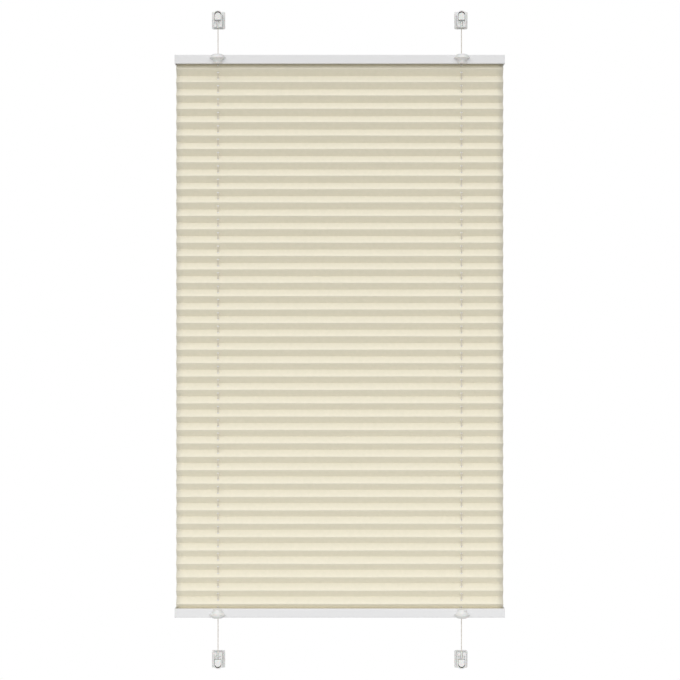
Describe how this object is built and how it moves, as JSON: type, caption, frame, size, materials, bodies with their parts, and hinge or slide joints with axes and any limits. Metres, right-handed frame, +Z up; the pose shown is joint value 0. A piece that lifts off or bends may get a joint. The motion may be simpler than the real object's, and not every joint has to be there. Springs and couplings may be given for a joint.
{
  "type": "pleated blind",
  "caption": "Cord-tensioned pleated window blind: a folded sheet between two slim rails that slide on taut cords held by screw-on tension shoes.",
  "frame": {"origin": "centre of the four screw holes, on the plane that the mounting bases are screwed to", "axes": "+Z up along the cords, +Y towards the window, +X to the right seen from the room"},
  "size_m": [0.5, 0.037, 1.001],
  "materials": {
    "coated_aluminium": "white powder coat, satin",
    "cap_plastic": "moulded, satin white",
    "moulded_plastic": "moulded, satin white",
    "white_plastic": "moulded, bright white",
    "strip_plastic": "extruded, matt white",
    "pleated_cloth": "pressed pleats, matt cream polyester",
    "cord": "fine braided polyester",
    "spring_steel": "bright drawn wire"
  },
  "bodies": {
    "root": {"pleated_fabric": "pleated_cloth", "left_tension_cord": "cord", "right_tension_cord": "cord", "upper_left_base_plate": "moulded_plastic", "upper_left_tension_shoe": "moulded_plastic", "upper_left_cord_nozzle": "white_plastic", "upper_left_cord_carrier": "white_plastic", "upper_left_tension_spring": "spring_steel", "upper_right_base_plate": "moulded_plastic", "upper_right_tension_shoe": "moulded_plastic", "upper_right_cord_nozzle": "white_plastic", "upper_right_cord_carrier": "white_plastic", "upper_right_tension_spring": "spring_steel", "lower_left_base_plate": "moulded_plastic", "lower_left_tension_shoe": "moulded_plastic", "lower_left_cord_nozzle": "white_plastic", "lower_left_cord_carrier": "white_plastic", "lower_left_tension_spring": "spring_steel", "lower_right_base_plate": "moulded_plastic", "lower_right_tension_shoe": "moulded_plastic", "lower_right_cord_nozzle": "white_plastic", "lower_right_cord_carrier": "white_plastic", "lower_right_tension_spring": "spring_steel"},
    "top_rail": {"top_rail_profile": "coated_aluminium", "top_rail_fabric_strip": "strip_plastic", "top_rail_front_crossing_cord": "cord", "top_rail_rear_crossing_cord": "cord", "top_rail_left_end_cap": "cap_plastic", "top_rail_right_end_cap": "cap_plastic", "top_rail_left_cord_guide": "moulded_plastic", "top_rail_right_cord_guide": "moulded_plastic"},
    "bottom_rail": {"bottom_rail_profile": "coated_aluminium", "bottom_rail_fabric_strip": "strip_plastic", "bottom_rail_front_crossing_cord": "cord", "bottom_rail_rear_crossing_cord": "cord", "bottom_rail_left_end_cap": "cap_plastic", "bottom_rail_right_end_cap": "cap_plastic", "bottom_rail_left_cord_guide": "moulded_plastic", "bottom_rail_right_cord_guide": "moulded_plastic"}
  },
  "joints": [
    {"name": "top_rail_slide", "type": "slide", "parent": "root", "child": "top_rail", "axis": [0, 0, 1], "range_m": [-0.38, 0.038], "deforming": ["pleated_fabric"]},
    {"name": "bottom_rail_slide", "type": "slide", "parent": "root", "child": "bottom_rail", "axis": [0, 0, 1], "range_m": [-0.048, 0.38], "deforming": ["pleated_fabric"]}
  ]
}
